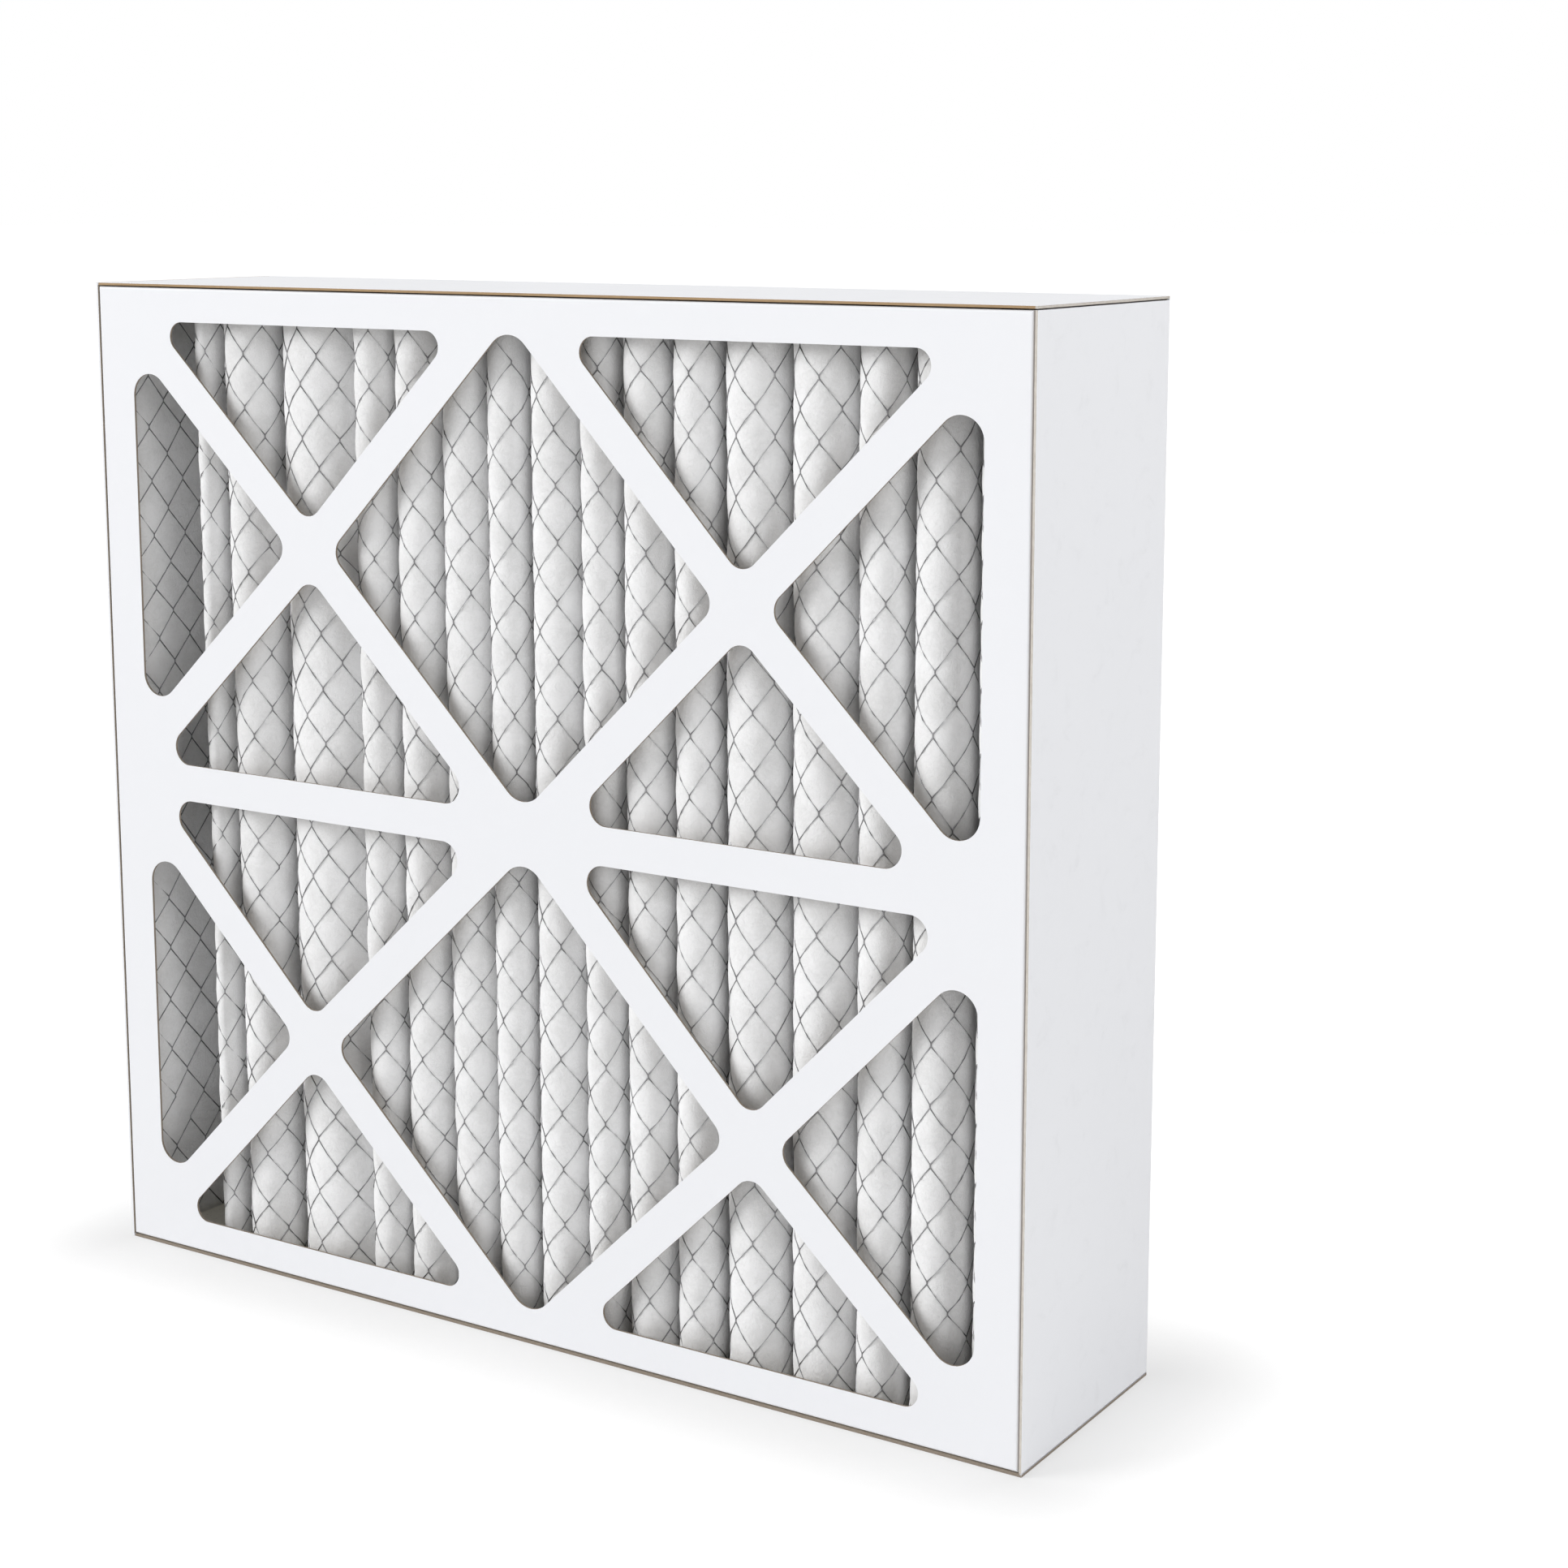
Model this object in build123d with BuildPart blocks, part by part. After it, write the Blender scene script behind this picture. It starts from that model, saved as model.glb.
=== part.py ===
from build123d import *
from collections import namedtuple
from math import acos, asin, atan2, ceil, cos, degrees, isclose, pi, radians, sin
import os

# Pleated panel air filter: two nested card trays, glued together round a pack of pleated media
# that is backed by expanded metal. It stands on its lower edge with its front face towards -Y.
# ---------------------------------------------------------------- driving dimensions, millimetres
# Outside of the finished filter
width = 502.0  # side to side
height = 475.0  # base to top
depth = 120.0  # front face to rear face

# Card trays
board = 1.2  # thickness of the coated board
fold_radius = 1.1  # outside radius of a scored fold
tray_gap = 0.6  # glue line between the outer tray's flanges and the inner tray's
seam = 0.6  # slit where one outer flange ends against the next
flange_end_gap = 2.0  # the inner tray's flanges stop this far short of the rear board
tab_length = 25.0  # glue tabs that turn in under the inner tray's upper and lower flanges

# Windows die-cut in both faces: four bays, each crossed by two diagonals
side_border = 22.5
end_border = 17.5
middle_bar = 17.5  # level bar across the middle of the face
strut = 17.5  # width of every diagonal
corner_radius = 8.5  # of a window's inner corners
end_corner_radius = 7.0  # of the corners along the upper and lower borders
side_corner_radius = 10.5  # of the corners along the side borders
point_radius = 12.0  # of the two diamonds' upper and lower points
corner_inset = 6.0  # outer diagonals run to points this far in from the face's corners
hub_overrun = 2.5  # inner diagonals run this far past the middle of the face
upper_point_lean = 4.0  # the upper diamond's point lies this far to the left of the middle
# How far each bay's crossing lies from the bay's centre, to the right and up
crossing_shift = {
    ("left", "upper"): (-1.0, 3.5),
    ("right", "upper"): (-4.5, -4.0),
    ("left", "lower"): (-6.0, -2.0),
    ("right", "lower"): (-0.5, -7.0),
}
# How far each side window's inner corner stands off from the middle bar
side_window_stand_off = {
    ("left", "upper"): 18.0,
    ("right", "upper"): 1.0,
    ("left", "lower"): 17.0,
    ("right", "lower"): 13.0,
}

# Pleat pack
media = 3.0  # thickness of the fibre media
mesh = 0.6  # thickness of the expanded-metal backing
mesh_clearance = 0.3  # between the backing and the media
mesh_turn = 20.0  # degrees that the backing turns at each knuckle round a bend
front_recess = 6.5  # from the front board to the mesh on the foremost crests
rear_recess = 3.0  # from the rear board to the rear folds
pleat_gap = 3.2  # clear space between one pleat and the next
# Each pleat's share of the pack's width, from left to right
pleat_shares = (14, 14, 31, 50, 23, 27, 26, 23, 28, 22, 26, 25, 33, 33, 26, 29, 32)
open_valley = 34  # share of the clear space between the first two pleats
largest_fold = 13.0  # radius of the widest rear folds, in the middle of the media

# Glue
end_glue = 1.3  # between the tray's glue tabs and the pleats' upper and lower ends
bed_margin = 2.0  # the beds of end glue reach this far in front of the pleats
side_glue = 1.5  # thickness of the strip that holds each outermost pleat

# ---------------------------------------------------------------- sizes that follow from them
front_face = Plane((0, -depth / 2, height / 2), x_dir=(1, 0, 0), z_dir=(0, -1, 0))
rear_face = Plane((0, depth / 2, height / 2), x_dir=(-1, 0, 0), z_dir=(0, 1, 0))
toward = {"left": -1, "right": 1, "lower": -1, "upper": 1}

inner_width = width - 2 * (board + tray_gap)
inner_height = height - 2 * (board + tray_gap)
inner_depth = depth - board - flange_end_gap
room_width = inner_width - 2 * board
room_height = inner_height - 2 * board
flange_end = -depth / 2 + inner_depth

bed = board + end_glue
pack_width = room_width - 2 * side_glue
pack_height = room_height - 2 * bed
pack_bottom = (height - pack_height) / 2
pack_top = pack_bottom + pack_height
mesh_front = -depth / 2 + board + front_recess
media_rear = depth / 2 - board - rear_recess
bed_front = mesh_front - bed_margin
# Surfaces of the two sheets, as distances in front of the middle of the media
media_back = -media / 2
media_face = media / 2
mesh_back = media_face + mesh_clearance
mesh_face = mesh_back + mesh


# ---------------------------------------------------------------- windows
def window_sketch():
    """The fourteen windows of a face, in the face's own axes."""
    field_width = width - 2 * side_border
    field_height = height - 2 * end_border

    def on_side(corner):
        return isclose(abs(corner.X), field_width / 2, abs_tol=0.01)

    def on_end(corner):
        return isclose(abs(corner.Y), field_height / 2, abs_tol=0.01)

    def is_point(corner):
        return abs(corner.X) < strut

    def is_inner(corner):
        return not (on_side(corner) or on_end(corner) or is_point(corner))

    with BuildSketch() as windows:
        Rectangle(field_width, field_height)
        # the two diamonds reach a little way into the end borders
        with Locations((-upper_point_lean, field_height / 2), (0, -field_height / 2)):
            Rectangle(2 * strut, strut)
        Rectangle(width, middle_bar, mode=Mode.SUBTRACT)
        for bay, (shift_right, shift_up) in crossing_shift.items():
            side, level = toward[bay[0]], toward[bay[1]]
            crossing = Vector(
                side * (width - side_border) / 4 + shift_right,
                level * (height - end_border) / 4 + shift_up,
            )
            hub = (0, -level * hub_overrun)
            outer_corner = (side * (width / 2 - corner_inset), level * height / 2)
            end_point = (-upper_point_lean if level > 0 else 0, level * height / 2)
            for end in (hub, outer_corner, end_point):
                with BuildLine():
                    Line(crossing, end)
                trace(line_width=strut, mode=Mode.SUBTRACT)
            # the fourth diagonal's edge runs through the side window's inner corner
            stand_off = middle_bar / 2 + side_window_stand_off[bay]
            step = Vector(side * field_width / 2, level * stand_off) - crossing
            angle = atan2(step.Y, step.X) - side * level * asin(strut / 2 / step.length)
            with BuildLine():
                PolarLine(crossing, step.length + strut, degrees(angle))
            trace(line_width=strut, mode=Mode.SUBTRACT)
        fillet(windows.vertices().filter_by(is_inner), corner_radius)
        fillet(windows.vertices().filter_by(on_end), end_corner_radius)
        fillet(windows.vertices().filter_by(on_side), side_corner_radius)
        fillet(windows.vertices().filter_by(is_point), point_radius)
    return windows.sketch


# ---------------------------------------------------------------- pleats
Bend = namedtuple("Bend", "center radius side")  # side is -1 for a front crest, 1 for a rear fold


def pleat_bends():
    """Every bend of the middle of the media, from left to right: crests with folds between them."""
    share = (pack_width + pleat_gap) / (sum(pleat_shares) + open_valley)
    pleat_start = -(pack_width + pleat_gap) / 2
    bends = []
    for pleat in pleat_shares:
        crest_x = pleat_start + pleat * share / 2
        crest_radius = (pleat * share - pleat_gap) / 2 - mesh_face
        if bends:
            last_x = bends[-1].center.X
            rear_radius = min((crest_x - last_x - pleat_gap) / 2 - media_face, largest_fold)
            rear_center = Vector((last_x + crest_x) / 2, media_rear + media_back - rear_radius)
            bends.append(Bend(rear_center, rear_radius, 1))
        crest_center = Vector(crest_x, mesh_front + mesh_face + crest_radius)
        if not bends:
            pleat_start += open_valley * share
        bends.append(Bend(crest_center, crest_radius, -1))
        pleat_start += pleat * share
    return bends


def flank_lean(bend, following):
    """Angle from +X to the line across the flank that joins two bends."""
    step = following.center - bend.center
    return atan2(step.Y, step.X) + bend.side * acos((bend.radius + following.radius) / step.length)


def bends_between_flanks(bends):
    """Each bend with the lean of the flank before it and of the flank after it."""
    leans = [flank_lean(bend, following) for bend, following in zip(bends, bends[1:])]
    # the outermost flanks run straight back along the tray
    return zip(bends, [0] + leans, leans + [0])


def around(bend, reach, angle):
    """Point beside a bend's centre, at the bend's radius and a distance in front of the media."""
    radius = bend.radius - bend.side * reach
    return bend.center + radius * Vector(cos(angle), sin(angle))


def line_ends(bends, reach):
    """The two ends of the pleats' line, at the rear of the outermost flanks."""
    first, last = around(bends[0], reach, pi), around(bends[-1], reach, 0)
    return (first.X, media_rear), (last.X, media_rear)


def round_line(bends, reach):
    """The line of the pleats, with round bends, at a distance in front of the middle of the media."""
    here, finish = line_ends(bends, reach)
    with BuildLine() as line:
        for bend, lean_before, lean_after in bends_between_flanks(bends):
            arc_start = around(bend, reach, pi + lean_before)
            Line(here, arc_start)
            here = around(bend, reach, lean_after)
            ThreePointArc(arc_start, around(bend, reach, bend.side * pi / 2), here)
        Line(here, finish)
    return line.line


def faceted_line(bends, reach):
    """The same line with flat facets round each bend, where metal bends at its knuckles."""
    start, finish = line_ends(bends, reach)
    corners = []
    for bend, lean_before, lean_after in bends_between_flanks(bends):
        turn = (lean_after - lean_before) - bend.side * pi
        facets = ceil(abs(turn) / radians(mesh_turn))
        for facet in range(facets):
            angle = pi + lean_before + turn * (facet + 0.5) / facets
            on_arc = around(bend, reach, angle)
            corners.append(bend.center + (on_arc - bend.center) / cos(turn / facets / 2))
    with BuildLine() as line:
        Polyline(start, *corners, finish)
    return line.line


def sheet_section(back_line, face_line):
    """Section of a sheet between the lines of its two surfaces."""
    with BuildSketch() as section:
        with BuildLine():
            add(back_line)
            add(face_line)
            Line(back_line @ 0, face_line @ 0)
            Line(back_line @ 1, face_line @ 1)
        make_face()
    return section.sketch


windows = window_sketch()
bends = pleat_bends()
media_section = sheet_section(round_line(bends, media_back), round_line(bends, media_face))
mesh_section = sheet_section(faceted_line(bends, mesh_back), faceted_line(bends, mesh_face))

os.makedirs("parts", exist_ok=True)

# ---------------------------------------------------------------- outer tray: rear face and flanges
with BuildPart() as rear_frame:
    with BuildSketch(rear_face):
        Rectangle(width, height)
    extrude(amount=-depth)
    fillet(rear_frame.faces().sort_by(Axis.Y)[-1].edges(), fold_radius)
    with BuildSketch(front_face):
        Rectangle(width - 2 * board, height - 2 * board)
    extrude(amount=-(depth - board), mode=Mode.SUBTRACT)
    # the left flange covers the ends of the upper and lower ones, which cover the right one's ends
    with BuildSketch(front_face):
        with Locations((-(width - seam) / 2 + board, 0)):
            with GridLocations(0, height - board, 1, 2):
                Rectangle(seam, board)
        with Locations(((width - board) / 2, 0)):
            with GridLocations(0, height - 2 * board - seam, 1, 2):
                Rectangle(board, seam)
    extrude(amount=-(depth - board), mode=Mode.SUBTRACT)
    with BuildSketch(rear_face):
        add(windows)
    extrude(amount=-board, mode=Mode.SUBTRACT)
rear_frame.part.label = "rear_frame"
export_step(rear_frame.part, "parts/rear_frame.step")

# ---------------------------------------------------------------- inner tray: front face and flanges
with BuildPart() as front_frame:
    with BuildSketch(front_face):
        Rectangle(inner_width, inner_height)
    extrude(amount=-inner_depth)
    fillet(front_frame.faces().sort_by(Axis.Y)[0].edges(), fold_radius)
    with BuildSketch(front_face.offset(-board)):
        Rectangle(room_width, room_height)
        # the side flanges' glue tabs turn in at the four corners
        with GridLocations(room_width - tab_length, room_height - board, 2, 2):
            Rectangle(tab_length, board, mode=Mode.SUBTRACT)
    extrude(amount=-(inner_depth - board), mode=Mode.SUBTRACT)
    with BuildSketch(front_face):
        add(windows)
    extrude(amount=-board, mode=Mode.SUBTRACT)
front_frame.part.label = "front_frame"
export_step(front_frame.part, "parts/front_frame.step")

# ---------------------------------------------------------------- pleat pack
with BuildPart() as pleated_media:
    with BuildSketch(Plane.XY.offset(pack_bottom)):
        add(media_section)
    extrude(amount=pack_height)
pleated_media.part.label = "pleated_media"
export_step(pleated_media.part, "parts/pleated_media.step")

with BuildPart() as wire_mesh:
    with BuildSketch(Plane.XY.offset(pack_bottom)):
        add(mesh_section)
    extrude(amount=pack_height)
wire_mesh.part.label = "wire_mesh"
export_step(wire_mesh.part, "parts/wire_mesh.step")

# ---------------------------------------------------------------- end glue, notched round the tabs
for name, pleat_end, outward in (("top_glue_bed", pack_top, 1), ("bottom_glue_bed", pack_bottom, -1)):
    with BuildPart() as glue_bed:
        with BuildSketch(Plane.XY.offset(pleat_end)):
            with Locations((0, (bed_front + flange_end) / 2)):
                Rectangle(room_width, flange_end - bed_front)
        extrude(amount=outward * bed)
        with BuildSketch(Plane.XY.offset(pleat_end + outward * end_glue)):
            with Locations((0, (bed_front + flange_end) / 2)):
                with GridLocations(room_width - tab_length, 0, 2, 1):
                    Rectangle(tab_length, flange_end - bed_front)
        extrude(amount=outward * board, mode=Mode.SUBTRACT)
    glue_bed.part.label = name
    export_step(glue_bed.part, f"parts/{name}.step")

# ---------------------------------------------------------------- side glue, behind the outer crests
for name, bend, side in (("left_edge_glue", bends[0], -1), ("right_edge_glue", bends[-1], 1)):
    with BuildPart() as glue_strip:
        with BuildSketch(Plane.XY.offset(pack_bottom)):
            with Locations((side * (room_width - side_glue) / 2, (bend.center.Y + media_rear) / 2)):
                Rectangle(side_glue, media_rear - bend.center.Y)
        extrude(amount=pack_height)
    glue_strip.part.label = name
    export_step(glue_strip.part, f"parts/{name}.step")
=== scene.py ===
from bisect import bisect_right
from collections import namedtuple
from math import acos, atan2, cos, floor, pi, radians, sin
from random import Random

import bmesh
import bpy
from bpy.props import FloatProperty, FloatVectorProperty, IntProperty, PointerProperty
from mathutils import Euler, Matrix, Vector, noise


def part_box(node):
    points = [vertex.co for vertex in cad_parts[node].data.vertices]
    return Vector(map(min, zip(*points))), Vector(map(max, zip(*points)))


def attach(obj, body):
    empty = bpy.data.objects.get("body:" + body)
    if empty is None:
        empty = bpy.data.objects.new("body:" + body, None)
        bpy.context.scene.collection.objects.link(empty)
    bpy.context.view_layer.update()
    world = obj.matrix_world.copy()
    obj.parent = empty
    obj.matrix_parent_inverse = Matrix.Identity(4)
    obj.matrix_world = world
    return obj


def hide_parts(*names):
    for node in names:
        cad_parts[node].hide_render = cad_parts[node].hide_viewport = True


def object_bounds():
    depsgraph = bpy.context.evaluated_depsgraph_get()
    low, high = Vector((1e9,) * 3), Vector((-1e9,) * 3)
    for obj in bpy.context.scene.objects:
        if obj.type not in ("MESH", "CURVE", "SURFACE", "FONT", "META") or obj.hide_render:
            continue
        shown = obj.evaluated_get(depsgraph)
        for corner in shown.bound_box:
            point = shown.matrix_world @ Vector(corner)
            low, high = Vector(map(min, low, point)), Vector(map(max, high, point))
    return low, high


bl_info = {
    "name": "Pleated Panel Air Filter",
    "version": (1, 0, 0),
    "blender": (4, 5, 0),
    "location": "3D View > Sidebar > Air Filter",
    "description": "Dresses the packed air filter: card trays, pleated media, wire backing and glue",
    "category": "Object",
}

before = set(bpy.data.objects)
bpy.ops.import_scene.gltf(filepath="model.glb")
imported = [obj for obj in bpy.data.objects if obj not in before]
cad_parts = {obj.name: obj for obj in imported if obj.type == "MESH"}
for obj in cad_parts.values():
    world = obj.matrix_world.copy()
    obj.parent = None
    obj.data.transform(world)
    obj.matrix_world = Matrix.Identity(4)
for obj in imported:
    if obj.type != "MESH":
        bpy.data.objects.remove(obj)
cad_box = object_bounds()

OUTSIDE_LOW, OUTSIDE_HIGH = cad_box
MIDDLE_HEIGHT = (OUTSIDE_LOW.z + OUTSIDE_HIGH.z) / 2
MESH_LOW, MESH_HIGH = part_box("wire_mesh")
MEDIA_LOW, MEDIA_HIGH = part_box("pleated_media")
BED_LOW, BED_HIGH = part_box("bottom_glue_bed")

# Each pleat's share of the pack's width, from left to right
PLEAT_SHARES = (14, 14, 31, 50, 23, 27, 26, 23, 28, 22, 26, 25, 33, 33, 26, 29, 32)
OPEN_VALLEY = 34  # share of the clear space between the first two pleats


# ------------------------------------------------------------------ what a user may change
def length(name, description, default, **limits):
    return FloatProperty(
        name=name, description=description, default=default, unit="LENGTH", precision=5, **limits
    )


def color(name, description, default):
    return FloatVectorProperty(
        name=name, description=description, default=default, subtype="COLOR", size=3, min=0, max=1
    )


class CardSettings(bpy.types.PropertyGroup):
    """Coated card of the two trays"""

    board: length("Board", "Thickness of the coated board", 0.0012)
    coat_color: color("Coat", "Clay coat on the outside of the board", (0.865, 0.873, 0.9))
    kraft_color: color("Kraft", "Uncoated inner side of the board", (0.42, 0.36, 0.29))
    ply_color: color("Ply", "Fibre of the board where it is cut", (0.50, 0.34, 0.19))
    pale_ply_color: color("Pale ply", "Fibre of the board at its right end", (0.82, 0.79, 0.74))
    # Painted shade: a darker ply colour for the cut edges in the windows and along the floor, where they lie in
    # shade
    painted_shade_ply_color: color("Painted shade ply", "Fibre in the windows and by the floor", (0.30, 0.265, 0.23))
    coat_thickness: length("Coat thickness", "White line of the coat along a cut edge", 0.00012)
    grain: length("Grain", "Size of the coat's paper grain", 0.0007)


class PleatSettings(bpy.types.PropertyGroup):
    """Fibre media and the expanded metal that holds its pleats"""

    media: length("Media", "Thickness of the fibre media", 0.003)
    backing: length("Backing", "Thickness of the expanded metal", 0.0006)
    clearance: length("Clearance", "Between the backing and the media", 0.0003)
    pleat_gap: length("Pleat gap", "Clear space between one pleat and the next", 0.0032)
    largest_fold: length("Largest fold", "Radius of the widest rear folds", 0.013)
    front_setback: length(
        "Front setback", "From the front face to the foremost crests", MESH_LOW.y - OUTSIDE_LOW.y
    )
    short_way: length("Short way", "Width of the metal's openings", 0.0190)
    bond: length("Bond", "Length of the bonds where the strands meet", 0.0013)
    media_rows: IntProperty(
        name="Rows", description="Rows of the media's mesh, three to a knuckle", default=108
    )
    back_rows: IntProperty(name="Back rows", description="Rows of the media's rear side", default=30)
    strand: length("Strand", "Thickness of a strand of the metal", 0.00065)
    strand_sink: length("Strand sink", "How deep the strands press into the media", 0.00015)
    bridge: length("Bridge", "How far the strands rise in the middle, over a crest", 0.00018)
    loft: length("Loft", "How far the media swells out between the strands", 0.00055)
    drift: length("Drift", "How far the openings drift from a regular pattern", 0.0016)
    jitter: length("Jitter", "How far single knuckles stray from the pattern", 0.0008)
    ripple: length("Ripple", "How far the sheet rises and falls", 0.0002)
    sway: length("Sway", "How far the pleats wander from straight", 0.0004)
    lost_strands: FloatProperty(
        name="Lost strands", description="Share of the strands that are broken", default=0.006, min=0, max=0.2
    )
    fibre_color: color("Fibre", "The media's fibres", (0.93, 0.93, 0.935))
    shade_color: color("Fibre shade", "The media where its fibres are thin", (0.83, 0.83, 0.83))
    metal_color: color("Metal", "The expanded metal", (0.20, 0.20, 0.205))


class GlueSettings(bpy.types.PropertyGroup):
    """Glue that holds the pleats in the trays"""

    glue_color: color("Glue", "Set glue", (0.78, 0.75, 0.66))


class StageSettings(bpy.types.PropertyGroup):
    """Floor, lamps and camera"""

    camera_place: FloatVectorProperty(
        name="Camera", description="Where the camera stands", default=(0.745, -1.019, 0.519),
        subtype="TRANSLATION", size=3,
    )
    heading: FloatProperty(
        name="Heading", description="Camera's turn about the vertical", default=radians(32.4), subtype="ANGLE"
    )
    pitch: FloatProperty(
        name="Pitch", description="Camera's tilt down", default=radians(9.2), subtype="ANGLE"
    )
    lens: FloatProperty(name="Lens", description="Focal length in millimetres", default=64.4)
    shift_y: FloatProperty(name="Shift", description="The lens's vertical shift", default=-0.09)
    floor_color: color("Floor", "Floor, as it lights the filter", (0.82, 0.82, 0.82))
    seen_floor_color: color("Seen floor", "Floor, as it takes the filter's shadow", (0.34, 0.34, 0.34))
    # Painted shadow: next to the filter the floor's seen glow is lowered, and it rises to white over the fade
    # distance
    painted_shadow_glow: FloatProperty(name="Painted shadow glow", description="Seen glow of the floor at the filter", default=0.5)
    painted_shadow_fade: length("Painted shadow fade", "How far from the filter the floor fades to white", 0.14)
    ambient: FloatProperty(name="Ambient", description="Light from all round", default=0.36)
    key_power: FloatProperty(name="Key", description="Lamp at the front left", default=690.0, unit="POWER")
    fill_power: FloatProperty(name="Fill", description="Lamp at the right", default=23.0, unit="POWER")
    top_power: FloatProperty(name="Top", description="Lamp overhead", default=8.0, unit="POWER")
    back_power: FloatProperty(name="Back", description="Lamp behind", default=150.0, unit="POWER")


# ------------------------------------------------------------------ materials
class Term:
    """A socket of a finish's node tree. Arithmetic on it adds Math nodes."""

    def __init__(self, finish, socket):
        self.finish, self.socket = finish, socket

    def math(self, operation, first, second=None):
        inputs = {0: first} if second is None else {0: first, 1: second}
        return self.finish.node("ShaderNodeMath", {"operation": operation}, inputs)

    def __add__(self, other):
        return self.math("ADD", self, other)

    def __sub__(self, other):
        return self.math("SUBTRACT", self, other)

    def __rsub__(self, other):
        return self.math("SUBTRACT", other, self)

    def __mul__(self, other):
        return self.math("MULTIPLY", self, other)

    def __truediv__(self, other):
        return self.math("DIVIDE", self, other)

    def __gt__(self, other):
        return self.math("GREATER_THAN", self, other)

    def __lt__(self, other):
        return self.math("LESS_THAN", self, other)

    def __or__(self, other):
        return self.math("MAXIMUM", self, other)

    def __and__(self, other):
        return self.math("MINIMUM", self, other)

    def root(self):
        return self.math("SQRT", self)

    def __abs__(self):
        return self.math("ABSOLUTE", self)

    __radd__ = __add__
    __rmul__ = __mul__


class Finish:
    """A material under construction."""

    def __init__(self, name):
        self.material = bpy.data.materials.new(name)
        self.material.use_nodes = True
        self.tree = self.material.node_tree
        self.tree.nodes.clear()

    def node(self, kind, settings=None, inputs=None, output=0):
        """Adds a node, sets it up, feeds it values or terms, and returns one of its outputs."""
        made = self.tree.nodes.new(kind)
        for name, value in (settings or {}).items():
            if name == "stops":
                self.set_stops(made.color_ramp, value)
            else:
                setattr(made, name, value)
        for name, value in (inputs or {}).items():
            socket = self.socket(made.inputs, name)
            if isinstance(value, Term):
                self.tree.links.new(value.socket, socket)
            else:
                socket.default_value = value
        return Term(self, self.socket(made.outputs, output)) if len(made.outputs) else made

    @staticmethod
    def socket(sockets, name):
        if isinstance(name, int):
            return sockets[name]
        return next(s for s in sockets if name in (s.identifier, s.name))

    @staticmethod
    def set_stops(ramp, stops):
        while len(ramp.elements) < len(stops):
            ramp.elements.new(1.0)
        for element, (position, value) in zip(ramp.elements, stops):
            element.position = position
            element.color = (value, value, value, 1)

    def axes(self, source):
        """The three axes of Texture Coordinate's Object or Normal output."""
        vector = self.node("ShaderNodeTexCoord", output=source)
        return [self.node("ShaderNodeSeparateXYZ", None, {0: vector}, axis) for axis in range(3)]

    def speckle(self, size, detail=2.0, distortion=0.0, stretch=(1, 1, 1), roughness=0.5):
        """Noise of a feature size in metres, from 0 to 1 about 0.5, stretched along the axes."""
        place = self.node("ShaderNodeTexCoord", output="Object")
        scale = [1 / factor for factor in stretch]
        place = self.node("ShaderNodeMapping", None, {"Vector": place, "Scale": scale})
        return self.node(
            "ShaderNodeTexNoise", None,
            {
                "Vector": place, "Scale": 1 / size, "Detail": detail,
                "Distortion": distortion, "Roughness": roughness,
            },
        )

    def ramp(self, term, low, high):
        """The term from 0 at low to 1 at high."""
        return self.node(
            "ShaderNodeMapRange", {"interpolation_type": "SMOOTHSTEP"},
            {"Value": term, "From Min": low, "From Max": high},
        )

    def blend(self, share, first, second):
        """From the first colour to the second."""
        colors = [c if isinstance(c, Term) else (*c, 1) for c in (first, second)]
        return self.node(
            "ShaderNodeMix", {"data_type": "RGBA"},
            {"Factor_Float": share, "A_Color": colors[0], "B_Color": colors[1]}, "Result_Color",
        )

    def bump(self, height, distance, under=None):
        """A bump of a height from 0 to 1 times a distance in metres."""
        inputs = {"Height": height, "Distance": distance, "Strength": 1.0}
        if under is not None:
            inputs["Normal"] = under
        return self.node("ShaderNodeBump", None, inputs)

    def surface(self, **inputs):
        """Ends the tree with a Principled shader. Names have underscores for spaces."""
        inputs = {name.replace("_", " "): value for name, value in inputs.items()}
        shader = self.node("ShaderNodeBsdfPrincipled", None, inputs)
        self.node("ShaderNodeOutputMaterial", None, {"Surface": shader})
        return self.material


def give(piece, material):
    """The material in the piece's only slot."""
    piece.data.materials.clear()
    piece.data.materials.append(material)


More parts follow.
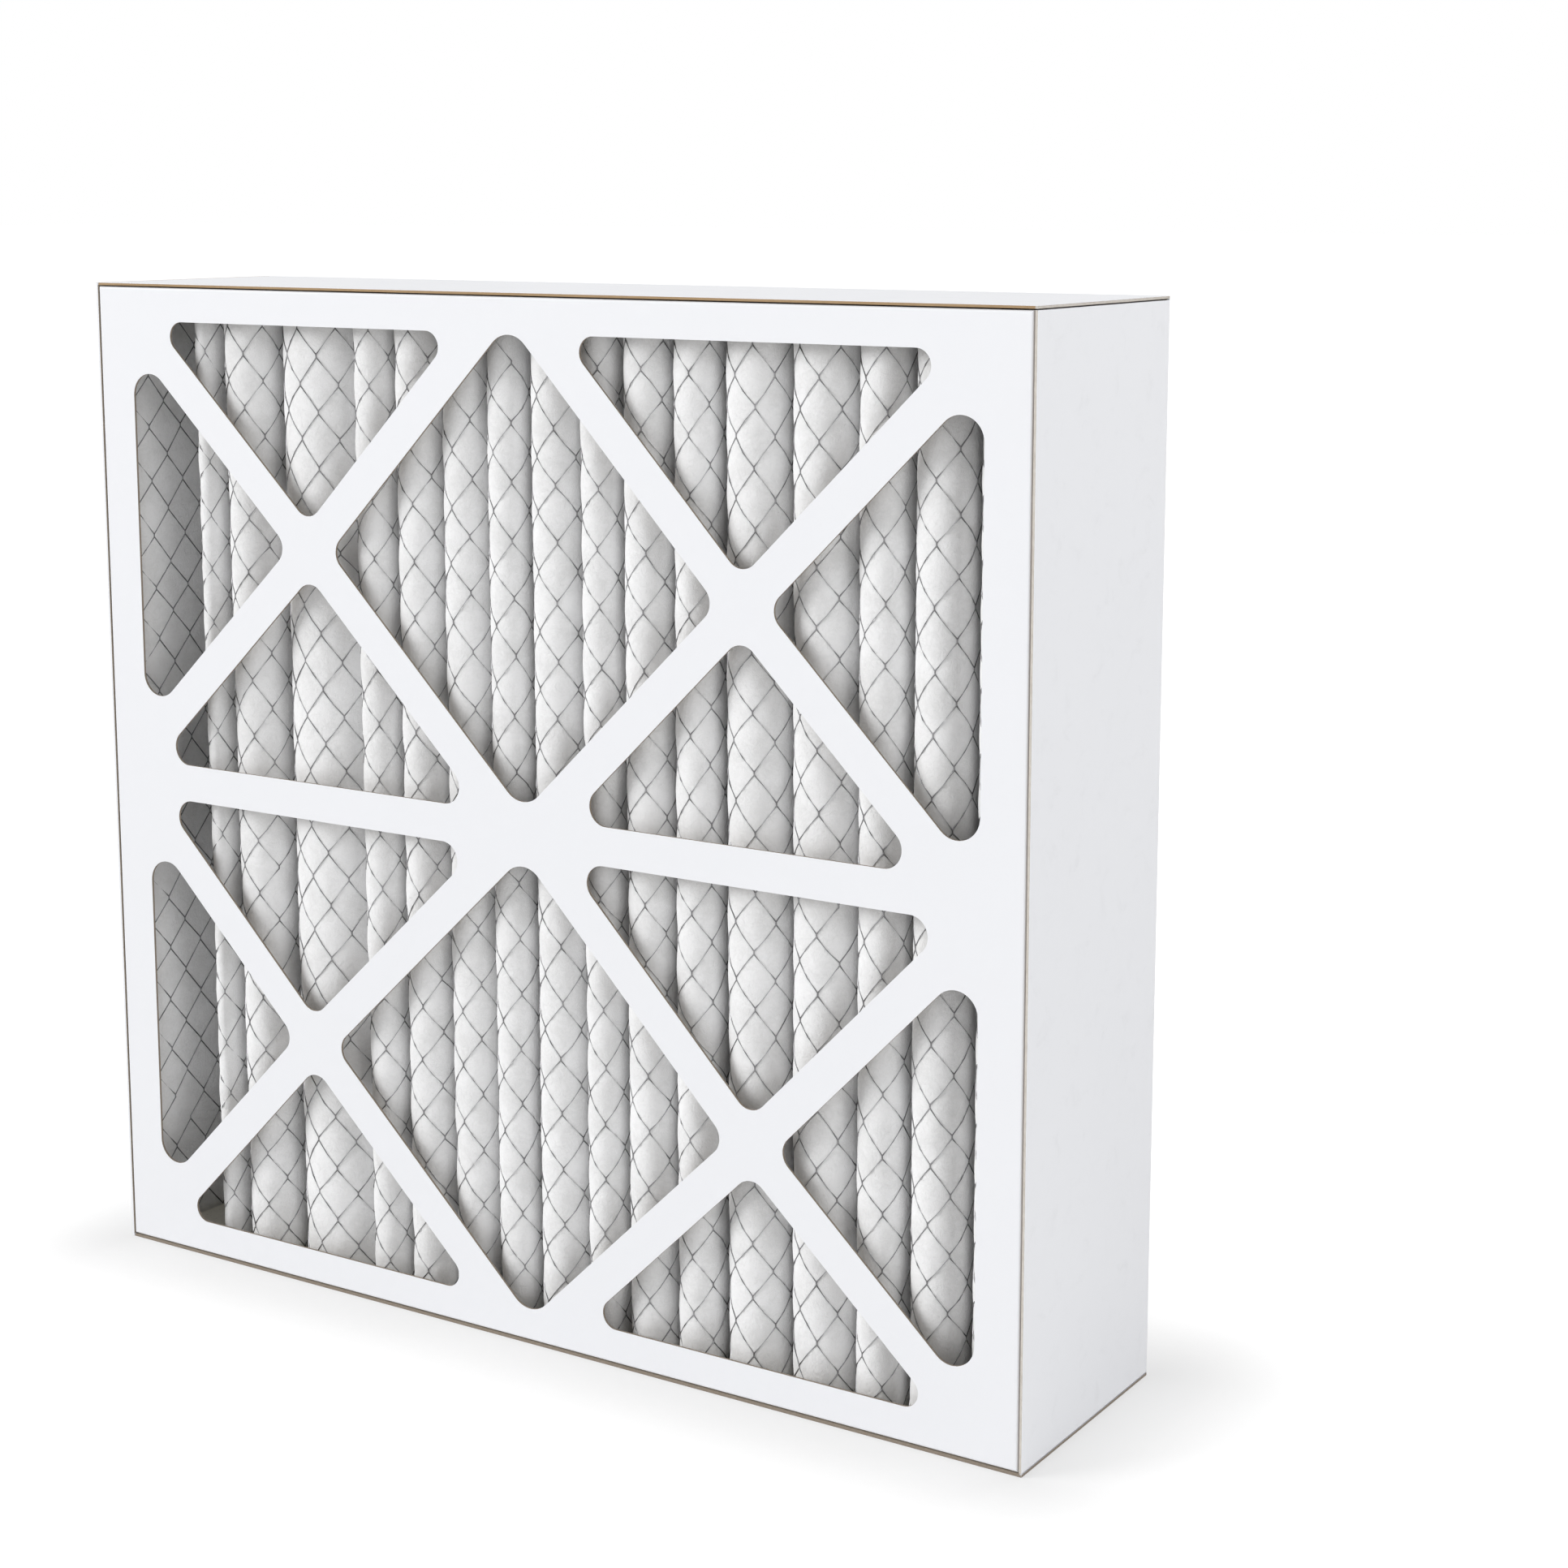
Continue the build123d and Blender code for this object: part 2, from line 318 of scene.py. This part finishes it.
def card_material(settings, node, closed_side):
    """Coated board: white outside, kraft inside, with the plies showing where it is cut.

    closed_side is -1 for the tray that closes the front and 1 for the one that closes the rear.
    """
    low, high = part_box(node)
    half_width, half_height = (high.x - low.x) / 2, (high.z - low.z) / 2
    board, tolerance = settings.board, 0.00004
    closed_face = high.y if closed_side > 0 else -low.y
    flange = high.y - low.y

    finish = Finish(f"{node}_card")
    x, y, z = finish.axes("Object")
    normal_x, normal_y, normal_z = finish.axes("Normal")
    up = abs(z - MIDDLE_HEIGHT)
    across = abs(x)
    behind = closed_face - y * closed_side

    inside = (
        (behind > board - tolerance)
        * (across < half_width - board + tolerance)
        * (up < half_height - board + tolerance)
    )
    left_flange = x < board - half_width
    flange_end = (behind > flange - tolerance) * (normal_y * closed_side < -0.5) * (1 - left_flange)
    window_edge = (
        (behind < board + tolerance)
        * (abs(normal_y) < 0.5)
        * (across < half_width - 3 * board)
        * (up < half_height - 3 * board)
    )
    # depth below the coat, on flange ends and on window edges
    below_flange = (half_width - across) & (half_height - up)
    below_coat = below_flange * flange_end + behind * window_edge
    cut = flange_end | window_edge
    if closed_side > 0:
        level_end = (x > half_width - tolerance) * (up > half_height - board - tolerance)
        upright_end = (x < board + tolerance - half_width) * (up > half_height - tolerance)
        below_coat = below_coat + level_end * (half_height - up) + upright_end * (x + half_width)
        cut = cut | level_end | upright_end
    coat_line = cut * (below_coat < settings.coat_thickness)
    raw = cut - coat_line

    mottle = finish.speckle(0.05, detail=3)
    grain = finish.speckle(settings.grain, detail=3)
    rub = finish.speckle(0.012, detail=5, distortion=0.6, roughness=0.65)
    near_fold = 1 - finish.ramp(below_flange, 0.0002, 0.0035)
    coat_share = (mottle - 0.5) * 0.35 + (grain - 0.5) * 0.45 + near_fold * finish.ramp(rub, 0.5, 0.75) * 0.5
    coat = finish.blend(
        finish.ramp(coat_share, -0.1, 1.6), settings.coat_color, [c * 0.86 for c in settings.coat_color]
    )
    fleck = finish.speckle(0.0016, detail=5, distortion=1.2, roughness=0.7)
    kraft = finish.blend(
        finish.ramp(fleck, 0.32, 0.72), [c * 0.78 for c in settings.kraft_color], settings.kraft_color
    )
    streak = finish.speckle(0.0003, detail=3, stretch=(9, 9, 9))
    layer = finish.ramp(
        finish.node("ShaderNodeMath", {"operation": "SINE"}, {0: below_coat * (2 * pi / 0.0004)}), -0.6, 0.8
    )
    ply = finish.blend(x > half_width - board, settings.ply_color, settings.pale_ply_color)
    # Cut edges in the windows and within a board's thickness of the floor take the darker ply: painted shade
    painted_shade_edge = window_edge | (z < board)
    ply = finish.blend(painted_shade_edge, ply, settings.painted_shade_ply_color)
    ply = finish.blend((1 - layer) * 0.3 + (1 - streak) * 0.35, ply, [c * 0.4 for c in settings.ply_color])
    base = finish.blend(inside, coat, kraft)
    base = finish.blend(raw, base, ply)
    bare = inside | raw
    warp = finish.bump(finish.speckle(0.12, detail=1), 0.0005)
    relief = finish.bump(grain * (1 - bare) * 0.25 + fleck * bare, 0.00006, warp)
    return finish.surface(
        Base_Color=base,
        Roughness=0.48 + (mottle - 0.5) * 0.05 + bare * 0.4,
        Normal=relief,
        Specular_IOR_Level=0.35,
    )


def media_material(settings):
    """Lofty felt of fine white fibres."""
    finish = Finish("fibre_media")
    cloud = finish.speckle(0.018, detail=4, roughness=0.6)
    fibre = finish.speckle(0.0035, detail=6, distortion=2.2, roughness=0.7)
    hair = finish.speckle(0.0012, detail=4, distortion=3.0, stretch=(1, 1, 4))
    thin = finish.ramp(cloud * 0.55 + fibre * 0.35 + hair * 0.1, 0.41, 0.63)
    tuft = finish.bump(cloud, 0.0011)
    relief = finish.bump(fibre * 0.75 + hair * 0.25, 0.00045, tuft)
    return finish.surface(
        Base_Color=finish.blend(thin, settings.fibre_color, settings.shade_color),
        Roughness=0.85 + (fibre - 0.5) * 0.2,
        Normal=relief,
        Specular_IOR_Level=0.2,
        Sheen_Weight=0.15,
        Sheen_Roughness=0.6,
    )


def metal_material(settings):
    """Drawn bright steel, dulled here and there."""
    finish = Finish("expanded_metal")
    dull = finish.ramp(finish.speckle(0.006, detail=4), 0.35, 0.7)
    scratch = finish.speckle(0.0004, detail=2, stretch=(1, 1, 8))
    return finish.surface(
        Base_Color=finish.blend(dull, settings.metal_color, [c * 1.7 for c in settings.metal_color]),
        Metallic=0.85,
        Roughness=0.34 + dull * 0.2,
        Normal=finish.bump(scratch, 0.00004),
    )


def glue_material(settings):
    """Set glue with a soft gloss and the marks of its pouring."""
    finish = Finish("set_glue")
    pour = finish.speckle(0.014, detail=3, distortion=0.8)
    pit = finish.speckle(0.0015, detail=2)
    return finish.surface(
        Base_Color=finish.blend(
            finish.ramp(pour, 0.3, 0.7), settings.glue_color, [c * 0.86 for c in settings.glue_color]
        ),
        Roughness=0.32 + (pit - 0.5) * 0.25,
        Normal=finish.bump(pour * 0.8 + pit * 0.2, 0.0008),
    )


# ------------------------------------------------------------------ the folded sheet
Bend = namedtuple("Bend", "x y radius side")  # side is -1 for a front crest, 1 for a rear fold
Span = namedtuple("Span", "first first_angle last last_angle")  # one bend twice for an arc


def around(bend, reach, angle):
    """Point beside a bend's centre, at the bend's radius and a distance in front of the media."""
    radius = bend.radius - bend.side * reach
    return Vector((bend.x + radius * cos(angle), bend.y + radius * sin(angle)))


class PleatedSheet:
    """Where the points of a flat sheet lie once it is pleated.

    A flat point has a place along the sheet, counted in columns of knuckles, a reach in front
    of the middle of the media and a height.
    """

    def __init__(self, settings):
        noise.seed_set(17)  # unset, the noise's vectors differ in each run
        self.settings = settings
        self.media_face = settings.media / 2
        self.mesh_middle = self.media_face + settings.clearance + settings.backing / 2
        self.mesh_face = self.media_face + settings.clearance + settings.backing
        self.spans = self.make_spans(self.make_bends())
        self.starts, self.length = [], 0.0
        for span in self.spans:
            self.starts.append(self.length)
            self.length += self.span_length(span)
        self.columns = 2 * round(self.length / settings.short_way)
        self.bottom, self.top = MEDIA_LOW.z, MEDIA_HIGH.z
        self.row = (self.top - self.bottom) / settings.media_rows
        self.knuckle_row = 3 * self.row

    def make_bends(self):
        gap = self.settings.pleat_gap
        width = MESH_HIGH.x - MESH_LOW.x
        share = (width + gap) / (sum(PLEAT_SHARES) + OPEN_VALLEY)
        mesh_front = OUTSIDE_LOW.y + self.settings.front_setback
        pleat_start = -(width + gap) / 2
        bends = []
        for pleat in PLEAT_SHARES:
            crest_x = pleat_start + pleat * share / 2
            crest_radius = (pleat * share - gap) / 2 - self.mesh_face
            if bends:
                last_x = bends[-1].x
                rear_radius = min((crest_x - last_x - gap) / 2 - self.media_face, self.settings.largest_fold)
                rear_y = MEDIA_HIGH.y - self.media_face - rear_radius
                bends.append(Bend((last_x + crest_x) / 2, rear_y, rear_radius, 1))
            if not bends:
                pleat_start += OPEN_VALLEY * share
            bends.append(Bend(crest_x, mesh_front + self.mesh_face + crest_radius, crest_radius, -1))
            pleat_start += pleat * share
        return bends

    @staticmethod
    def flank_lean(bend, following):
        """Angle from +X to the line across the flank that joins two bends."""
        step = Vector((following.x - bend.x, following.y - bend.y))
        return atan2(step.y, step.x) + bend.side * acos((bend.radius + following.radius) / step.length)

    def make_spans(self, bends):
        """Flanks and arcs in turn. The outermost flanks run straight back along the tray."""
        leans = [0, *map(self.flank_lean, bends, bends[1:]), 0]
        start, finish = (bend._replace(y=MEDIA_HIGH.y) for bend in (bends[0], bends[-1]))
        spans, here, here_angle = [], start, pi
        for bend, before, after in zip(bends, leans, leans[1:]):
            # the sheet turns through the bend's own side
            arc_start = pi + before
            arc_end = arc_start + (after - before) - bend.side * pi
            spans.append(Span(here, here_angle, bend, arc_start))
            spans.append(Span(bend, arc_start, bend, arc_end))
            here, here_angle = bend, arc_end
        spans.append(Span(here, here_angle, finish, here_angle))
        return spans

    def span_length(self, span):
        if span.first is span.last:
            radius = span.first.radius - span.first.side * self.mesh_middle
            return abs(span.last_angle - span.first_angle) * radius
        ends = around(span.first, self.mesh_middle, span.first_angle), around(
            span.last, self.mesh_middle, span.last_angle
        )
        return (ends[1] - ends[0]).length

    def along(self, column):
        """Distance along the sheet of a column of knuckles."""
        return self.length * column / self.columns

    def grid_place(self, vert):
        """Column and row of knuckles of a vertex of a flat grid."""
        return round(vert.co.x), round((vert.co.z - self.bottom) / self.knuckle_row)

    def span_at(self, along):
        return max(0, bisect_right(self.starts, along) - 1)

    def zone(self, column):
        """-1 in a front crest, 1 in a rear fold and 0 on a flank."""
        span = self.spans[self.span_at(self.along(column))]
        return span.first.side if span.first is span.last else 0

    def place(self, along, reach):
        index = self.span_at(along)
        span = self.spans[index]
        end = self.starts[index + 1] if index + 1 < len(self.starts) else self.length
        share = (along - self.starts[index]) / (end - self.starts[index])
        if span.first is span.last:
            return around(span.first, reach, span.first_angle + share * (span.last_angle - span.first_angle))
        first = around(span.first, reach, span.first_angle)
        return first.lerp(around(span.last, reach, span.last_angle), share)

    def folded(self, column, reach, height):
        """A flat point's place in the pleated pack, drifted a little from the regular pattern."""
        settings = self.settings
        hold = min(1.0, (height - self.bottom) / 0.03, (self.top - height) / 0.03)
        drift = noise.noise_vector(Vector((column / 5, 0.0, height / 0.05))) * settings.drift
        drift += noise.noise_vector(Vector((column / 1.4, 5.0, height / 0.016))) * settings.jitter
        ripple = noise.noise(Vector((column / 2.4, 7.0, height / 0.024))) * settings.ripple
        along = min(max(self.along(column) + drift.x * hold, 0.0), self.length)
        point = self.place(along, reach + ripple)
        wander = noise.noise(Vector((point.x / 0.03, 3.0, height / 0.07))) * settings.sway
        return Vector((point.x + wander * hold, point.y, height + drift.z * hold))

    def swell(self, column, height):
        """How far the media swells in an opening, from 0 under the strands to 1 in the middle."""
        up = (height - self.bottom) / self.knuckle_row
        return abs(sin(pi * (column + up) / 2) * sin(pi * (column - up) / 2))


def add_piece(name, bm, *nodes, slot):
    """Finishes a bmesh as a piece that stands for its CAD nodes."""
    mesh = bpy.data.meshes.new(name)
    bm.to_mesh(mesh)
    bm.free()
    piece = bpy.data.objects.new(name, mesh)
    bpy.context.scene.collection.objects.link(piece)
    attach(piece, "root")
    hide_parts(*nodes)
    return piece


def flat_grid(bm, sheet, rows, reach, top=None):
    """Lays a grid over the flat sheet: X counts its columns, Y is its reach and Z its height."""
    height = (top or sheet.top) - sheet.bottom
    size = Matrix.Diagonal((sheet.columns / 2, height / 2, 1, 1))
    upright = Euler((pi / 2, 0, 0)).to_matrix().to_4x4()
    middle = Matrix.Translation((sheet.columns / 2, reach, sheet.bottom + height / 2))
    bmesh.ops.create_grid(
        bm, x_segments=sheet.columns, y_segments=rows, size=1.0, matrix=middle @ upright @ size
    )


def is_level(edge):
    return abs(edge.verts[0].co.z - edge.verts[1].co.z) < 1e-6


def is_upright(edge):
    return abs(edge.verts[0].co.x - edge.verts[1].co.x) < 1e-6


def middle_column(edge):
    return (edge.verts[0].co.x + edge.verts[1].co.x) / 2


def divide_columns(bm, edges, cuts):
    bmesh.ops.subdivide_edges(bm, edges=edges, cuts=cuts, use_grid_fill=True)


# ------------------------------------------------------------------ operators
class FinishCard(bpy.types.Operator):
    """Coat the outside of both card trays and bare their cut edges"""

    bl_idname = "air_filter.finish_card"
    bl_label = "Finish Card Trays"

    def execute(self, context):
        settings = context.scene.filter_card
        for node, closed_side in (("front_frame", -1), ("rear_frame", 1)):
            give(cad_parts[node], card_material(settings, node, closed_side))
        return {"FINISHED"}


class PleatMedia(bpy.types.Operator):
    """Pleat the fibre media, swollen out between the strands that hold it"""

    bl_idname = "air_filter.pleat_media"
    bl_label = "Pleat Media"

    def execute(self, context):
        settings = context.scene.filter_pleats
        sheet = PleatedSheet(settings)
        bm = bmesh.new()
        front_reach = sheet.mesh_middle - settings.strand_sink
        flat_grid(bm, sheet, settings.media_rows, front_reach)
        self.divide(bm.edges, bm, sheet, crest_cuts=2, fold_cuts=1)
        swell = bm.verts.layers.float.new("swell")
        for vert in bm.verts:
            vert[swell] = sheet.swell(vert.co.x, vert.co.z)
        bmesh.ops.connect_verts(bm, verts=[v for v in bm.verts if v[swell] < 1e-3])
        front_edges = [e for e in bm.edges if e.is_boundary]

        known = set(bm.edges)
        flat_grid(bm, sheet, settings.back_rows, -sheet.media_face)
        self.divide([e for e in bm.edges if e not in known], bm, sheet, crest_cuts=2, fold_cuts=1)
        for vert in bm.verts:
            if vert.co.y > 0:
                loft = settings.loft if sheet.zone(vert.co.x) else settings.loft * 0.5
                reach = vert.co.y + loft * vert[swell]
            else:
                lump = noise.noise(Vector((vert.co.x / 1.6, 11.0, vert.co.z / 0.02)))
                reach = vert.co.y + 0.0004 * lump
            vert.co.y = reach
        self.close(bm, sheet)
        for vert in bm.verts:
            vert.co = sheet.folded(vert.co.x, vert.co.y, vert.co.z)
        bmesh.ops.recalc_face_normals(bm, faces=bm.faces)
        piece = add_piece("media_pleats", bm, "pleated_media", slot="media")
        give(piece, media_material(settings))
        return {"FINISHED"}

    @staticmethod
    def divide(edges, bm, sheet, crest_cuts, fold_cuts):
        level = [e for e in edges if is_level(e)]
        zones = {-1: [], 0: [], 1: []}
        for edge in level:
            zones[sheet.zone(middle_column(edge))].append(edge)
        divide_columns(bm, zones[-1], crest_cuts)
        divide_columns(bm, zones[1], fold_cuts)

    @staticmethod
    def close(bm, sheet):
        """Joins the front and rear sides along all four ends of the flat sheet."""
        for height in (sheet.bottom, sheet.top):
            ends = [
                e for e in bm.edges
                if e.is_boundary and all(abs(v.co.z - height) < 1e-6 for v in e.verts)
            ]
            bmesh.ops.bridge_loops(bm, edges=ends)
        for face in bm.faces:
            face.smooth = True
        caps = bmesh.ops.holes_fill(bm, edges=[e for e in bm.edges if e.is_boundary])["faces"]
        for face in caps:
            face.smooth = False


class StretchMetal(bpy.types.Operator):
    """Lay expanded metal over the pleats' front, with a few broken strands"""

    bl_idname = "air_filter.stretch_metal"
    bl_label = "Stretch Expanded Metal"

    def execute(self, context):
        settings = context.scene.filter_pleats
        sheet = PleatedSheet(settings)
        draw = Random(17)
        bm = bmesh.new()
        # slit in rows, then pulled open: every line of strands zigzags between two rows of bonds
        lines = settings.media_rows // 3
        flat_grid(bm, sheet, lines - 1, sheet.mesh_middle, top=sheet.top - sheet.knuckle_row)
        cut = []
        for edge in bm.edges:
            if is_level(edge):
                loose = draw.random() < settings.lost_strands
            else:
                column, line = min(map(sheet.grid_place, edge.verts), key=sum)
                loose = (column + line) % 2 == 0
            if loose and not edge.is_boundary:
                cut.append(edge)
        for vert in bm.verts:
            raised = sum(sheet.grid_place(vert)) % 2
            vert.co.z += sheet.knuckle_row - settings.bond / 2 if raised else settings.bond / 2
        bmesh.ops.dissolve_edges(bm, edges=cut)
        bent = [e for e in bm.edges if not is_upright(e) and sheet.zone(middle_column(e)) < 0]
        for part in bmesh.ops.bisect_edges(bm, edges=bent, cuts=1)["geom_split"]:
            if isinstance(part, bmesh.types.BMVert):
                part.co.y += settings.bridge
        for vert in bm.verts:
            sink = draw.uniform(-0.00012, 0.00008)
            vert.co = sheet.folded(vert.co.x, vert.co.y + sink, vert.co.z)
        bmesh.ops.recalc_face_normals(bm, faces=bm.faces)
        bmesh.ops.wireframe(
            bm, faces=bm.faces, thickness=settings.strand, use_replace=True, use_boundary=True,
            use_even_offset=True,
        )
        bmesh.ops.recalc_face_normals(bm, faces=bm.faces)
        for face in bm.faces:
            face.smooth = True
        piece = add_piece("expanded_metal", bm, "wire_mesh", slot="mesh")
        give(piece, metal_material(settings))
        return {"FINISHED"}


class FinishGlue(bpy.types.Operator):
    """Finish the beds and strips of glue"""

    bl_idname = "air_filter.finish_glue"
    bl_label = "Finish Glue"

    def execute(self, context):
        material = glue_material(context.scene.filter_glue)
        for node in ("top_glue_bed", "bottom_glue_bed", "left_edge_glue", "right_edge_glue"):
            give(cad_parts[node], material)
        return {"FINISHED"}


class SetStage(bpy.types.Operator):
    """Set the floor, lamps, backdrop and camera"""

    bl_idname = "air_filter.set_stage"
    bl_label = "Set Stage"

    def execute(self, context):
        settings = context.scene.filter_stage
        self.add_floor(settings)
        self.add_backdrop(context, settings)
        self.add_lamp("key_lamp", (-7.0, -5.8, 4.4), 4.8, settings.key_power)
        self.add_lamp("fill_lamp", (2.7, -0.8, 0.9), 1.6, settings.fill_power)
        self.add_lamp("top_lamp", (0.0, -0.2, 2.6), 2.0, settings.top_power)
        self.add_lamp("back_lamp", (1.6, 6.6, 2.6), 4.0, settings.back_power)
        self.add_camera(context, settings)
        context.scene.view_settings.view_transform = "Standard"
        return {"FINISHED"}

    @staticmethod
    def seen(finish):
        """1 for what the camera sees, straight or in gloss and glass."""
        rays = ("Is Camera Ray", "Is Glossy Ray", "Is Transmission Ray")
        camera, gloss, glass = (finish.node("ShaderNodeLightPath", output=ray) for ray in rays)
        return camera | gloss | glass

    def add_floor(self, settings):
        bm = bmesh.new()
        bmesh.ops.create_grid(bm, x_segments=1, y_segments=1, size=30.0)
        mesh = bpy.data.meshes.new("studio_floor")
        bm.to_mesh(mesh)
        bm.free()
        floor_piece = bpy.data.objects.new("studio_floor", mesh)
        bpy.context.scene.collection.objects.link(floor_piece)
        finish = Finish("studio_floor")
        x, y, z = finish.axes("Object")
        across, back = (abs(x) - OUTSIDE_HIGH.x) | 0, (abs(y) - OUTSIDE_HIGH.y) | 0
        # The seen glow is lowest next to the filter and rises to full white further off: a painted contact
        # shadow round the base, with an evenly white floor beyond it
        past_painted_shadow = finish.ramp((across * across + back * back).root(), -0.03, settings.painted_shadow_fade)
        seen = self.seen(finish)
        glow = seen * (past_painted_shadow * (1 - settings.painted_shadow_glow) + settings.painted_shadow_glow)
        give(floor_piece, finish.surface(
            Base_Color=finish.blend(seen, settings.floor_color, settings.seen_floor_color),
            Roughness=1.0,
            Specular_IOR_Level=0.0,
            Emission_Color=finish.blend(glow, (0, 0, 0), (1, 1, 1)),
            Emission_Strength=1.0,
        ))

    def add_backdrop(self, context, settings):
        world = bpy.data.worlds.new("studio")
        world.use_nodes = True
        context.scene.world = world
        finish = Finish.__new__(Finish)
        finish.tree = world.node_tree
        finish.tree.nodes.clear()
        light = finish.node("ShaderNodeBackground", None, {"Strength": settings.ambient})
        white = finish.node("ShaderNodeBackground", None, {"Strength": 1.0})
        for shader in (light, white):
            shader.socket.node.inputs["Color"].default_value = (1, 1, 1, 1)
        mixed = finish.node("ShaderNodeMixShader", None, {0: self.seen(finish), 1: light, 2: white})
        finish.node("ShaderNodeOutputWorld", None, {"Surface": mixed})

    @staticmethod
    def add_lamp(name, place, size, power):
        lamp = bpy.data.lights.new(name, "AREA")
        lamp.size, lamp.energy = size, power
        stand = bpy.data.objects.new(name, lamp)
        stand.location = place
        aim = Vector((0, 0, MIDDLE_HEIGHT)) - stand.location
        stand.rotation_euler = aim.to_track_quat("-Z", "Y").to_euler()
        bpy.context.scene.collection.objects.link(stand)

    @staticmethod
    def add_camera(context, settings):
        lens = bpy.data.cameras.new("camera")
        lens.lens, lens.sensor_width, lens.shift_y = settings.lens, 36.0, settings.shift_y
        camera = bpy.data.objects.new("camera", lens)
        camera.location = settings.camera_place
        camera.rotation_euler = (pi / 2 - settings.pitch, 0, settings.heading)
        context.scene.collection.objects.link(camera)
        context.scene.camera = camera


# ------------------------------------------------------------------ panel and registration
OPERATORS = (FinishCard, PleatMedia, StretchMetal, FinishGlue, SetStage)


class AirFilterPanel(bpy.types.Panel):
    """The filter's pieces, in the order they are made"""

    bl_idname = "VIEW3D_PT_air_filter"
    bl_label = "Air Filter"
    bl_space_type = "VIEW_3D"
    bl_region_type = "UI"
    bl_category = "Air Filter"

    def draw(self, context):
        for operator in OPERATORS:
            self.layout.operator(operator.bl_idname)
        for group in SETTINGS:
            box = self.layout.box()
            settings = getattr(context.scene, group)
            for name in settings.bl_rna.properties.keys():
                if name not in ("rna_type", "name"):
                    box.prop(settings, name)


SETTINGS = {
    "filter_card": CardSettings,
    "filter_pleats": PleatSettings,
    "filter_glue": GlueSettings,
    "filter_stage": StageSettings,
}
CLASSES = (*SETTINGS.values(), *OPERATORS, AirFilterPanel)


def register():
    for cls in CLASSES:
        bpy.utils.register_class(cls)
    for name, group in SETTINGS.items():
        setattr(bpy.types.Scene, name, PointerProperty(type=group))


def unregister():
    for name in SETTINGS:
        delattr(bpy.types.Scene, name)
    for cls in reversed(CLASSES):
        bpy.utils.unregister_class(cls)


def main():
    register()
    for operator in OPERATORS:
        group, name = operator.bl_idname.split(".")
        getattr(getattr(bpy.ops, group), name)()


if __name__ == "__main__":
    main()
